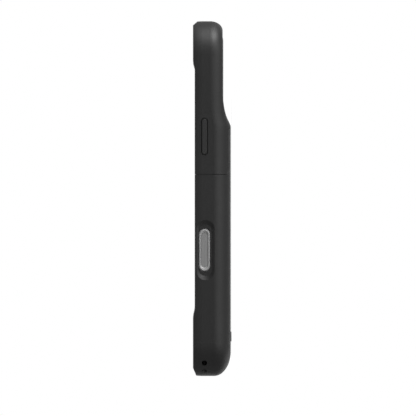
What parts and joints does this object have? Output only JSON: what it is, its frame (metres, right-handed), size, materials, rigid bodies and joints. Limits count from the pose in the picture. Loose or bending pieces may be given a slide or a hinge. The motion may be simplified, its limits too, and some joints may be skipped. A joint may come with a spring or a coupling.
{
  "type": "phone battery case",
  "caption": "Phone battery case: deep battery base with chin and phone plug, slide-off top cap, sprung side buttons, touch button in a dished recess and corner lanyard holes.",
  "frame": {"origin": "middle of the outline, on the surface that the case lies on, at the status button's face", "axes": "+X to the power-button side, +Y to the top end, +Z to the screen side"},
  "size_m": [0.0762, 0.1654, 0.018],
  "materials": {
    "soft_black": "fine-textured soft-touch moulding",
    "inner_black": "plain moulding",
    "lining": "napped lining",
    "button_black": "satin moulding",
    "touch_rim": "bead-blasted grey",
    "touch_face": "satin grey touch surface",
    "clear_guide": "milky",
    "board": "solder mask",
    "steel": "drawn sheet",
    "contacts": "plated",
    "cell_foil": "laminate foil",
    "tape": "foam tape",
    "flex": "film"
  },
  "bodies": {
    "base": {"base_shell": "soft_black", "inner_tray": "inner_black", "base_liner": "lining", "tact_switch": "inner_black", "light_guide": "clear_guide", "charge_leds": "clear_guide", "main_board": "board", "board_screws": "steel", "shield_can": "steel", "boost_inductor": "inner_black", "battery_cell": "cell_foil", "battery_tape": "tape", "protection_board": "board", "cell_tabs": "steel", "battery_flex": "flex", "charge_port": "steel", "port_tongue": "inner_black", "port_board": "board", "plug_carrier": "inner_black", "phone_plug": "steel", "plug_contacts": "contacts", "plug_flex": "flex", "sound_meshes": "steel"},
    "cap": {"top_cap": "soft_black", "cap_liner": "lining"},
    "power": {"power_button": "button_black"},
    "action": {"action_button": "button_black"},
    "volume_up": {"volume_up_button": "button_black"},
    "volume_down": {"volume_down_button": "button_black"},
    "touch": {"touch_button_frame": "touch_rim", "touch_button_plate": "touch_face"},
    "status": {"status_button": "button_black"}
  },
  "joints": [
    {"name": "cap_slide", "type": "slide", "parent": "base", "child": "cap", "axis": [0, 1, 0], "range_m": [0, 0.08]},
    {"name": "power_press", "type": "slide", "parent": "cap", "child": "power", "axis": [-1, 0, 0], "range_m": [0, 0.0003], "stiffness_N_per_m": 4000},
    {"name": "action_press", "type": "slide", "parent": "cap", "child": "action", "axis": [1, 0, 0], "range_m": [0, 0.0003], "stiffness_N_per_m": 4000},
    {"name": "volume_up_press", "type": "slide", "parent": "cap", "child": "volume_up", "axis": [1, 0, 0], "range_m": [0, 0.0003], "stiffness_N_per_m": 4000},
    {"name": "volume_down_press", "type": "slide", "parent": "cap", "child": "volume_down", "axis": [1, 0, 0], "range_m": [0, 0.0003], "stiffness_N_per_m": 4000},
    {"name": "touch_press", "type": "slide", "parent": "base", "child": "touch", "axis": [-1, 0, 0], "range_m": [0, 0.0002], "stiffness_N_per_m": 4000},
    {"name": "status_press", "type": "slide", "parent": "base", "child": "status", "axis": [0, 0, 1], "range_m": [0, 0.0002], "stiffness_N_per_m": 4000}
  ]
}
